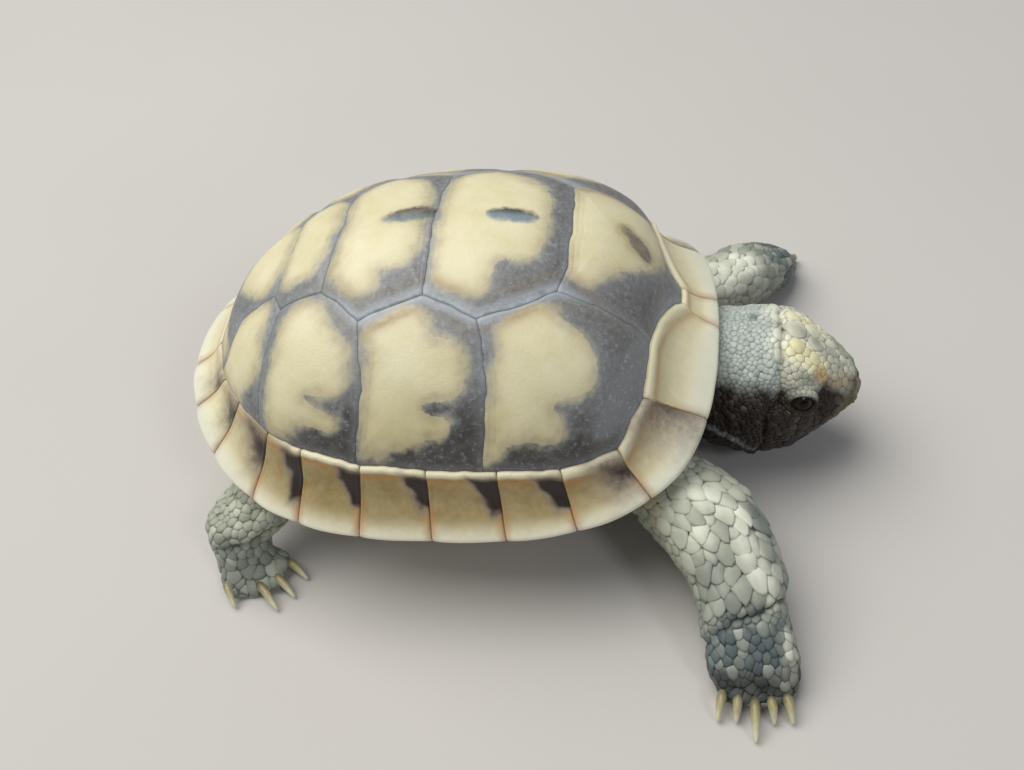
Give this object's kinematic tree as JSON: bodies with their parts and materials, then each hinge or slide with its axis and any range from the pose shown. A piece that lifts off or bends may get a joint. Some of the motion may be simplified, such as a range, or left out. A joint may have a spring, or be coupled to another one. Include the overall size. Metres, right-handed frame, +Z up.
{
  "type": "tortoise",
  "caption": "Young Mediterranean land tortoise, life size, walking stance: domed yellow shell with dark-banded scutes, scaly grey-green legs, head half drawn in.",
  "frame": {"origin": "middle of the base of the whole animal's box, on the floor it stands on", "axes": "+X the way the head points, +Y the animal's left, +Z up from the floor"},
  "size_m": [0.0632, 0.062, 0.0287],
  "materials": {
    "carapace_horn": "satin horn, pale yellow with dark seams",
    "rim_horn": "satin horn, ochre with dark front wedges",
    "plastron_horn": "satin horn, yellow with dark patches",
    "skin": "dry scaly skin",
    "head_skin": "smooth grey skin with yellow patches",
    "eye": "wet gloss"
  },
  "bodies": {
    "root": {"vertebral_1": "carapace_horn", "vertebral_2": "carapace_horn", "vertebral_3": "carapace_horn", "vertebral_4": "carapace_horn", "vertebral_5": "carapace_horn", "nuchal": "rim_horn", "supracaudal": "rim_horn", "costal_right_1": "carapace_horn", "costal_left_1": "carapace_horn", "costal_right_2": "carapace_horn", "costal_left_2": "carapace_horn", "costal_right_3": "carapace_horn", "costal_left_3": "carapace_horn", "costal_right_4": "carapace_horn", "costal_left_4": "carapace_horn", "marginal_right_1": "rim_horn", "marginal_left_1": "rim_horn", "marginal_right_2": "rim_horn", "marginal_left_2": "rim_horn", "marginal_right_3": "rim_horn", "marginal_left_3": "rim_horn", "marginal_right_4": "rim_horn", "marginal_left_4": "rim_horn", "marginal_right_5": "rim_horn", "marginal_left_5": "rim_horn", "marginal_right_6": "rim_horn", "marginal_left_6": "rim_horn", "marginal_right_7": "rim_horn", "marginal_left_7": "rim_horn", "marginal_right_8": "rim_horn", "marginal_left_8": "rim_horn", "marginal_right_9": "rim_horn", "marginal_left_9": "rim_horn", "marginal_right_10": "rim_horn", "marginal_left_10": "rim_horn", "marginal_right_11": "rim_horn", "marginal_left_11": "rim_horn", "gular_right": "plastron_horn", "gular_left": "plastron_horn", "humeral_right": "plastron_horn", "humeral_left": "plastron_horn", "pectoral_right": "plastron_horn", "pectoral_left": "plastron_horn", "abdominal_right": "plastron_horn", "abdominal_left": "plastron_horn", "femoral_right": "plastron_horn", "femoral_left": "plastron_horn", "anal_right": "plastron_horn", "anal_left": "plastron_horn", "trunk": "skin", "head": "head_skin", "neck": "head_skin", "eye_left": "eye", "eye_right": "eye", "foreleg_right": "skin", "foreleg_left": "skin", "hindleg_right": "skin", "hindleg_left": "skin", "tail": "skin"}
  },
  "joints": []
}
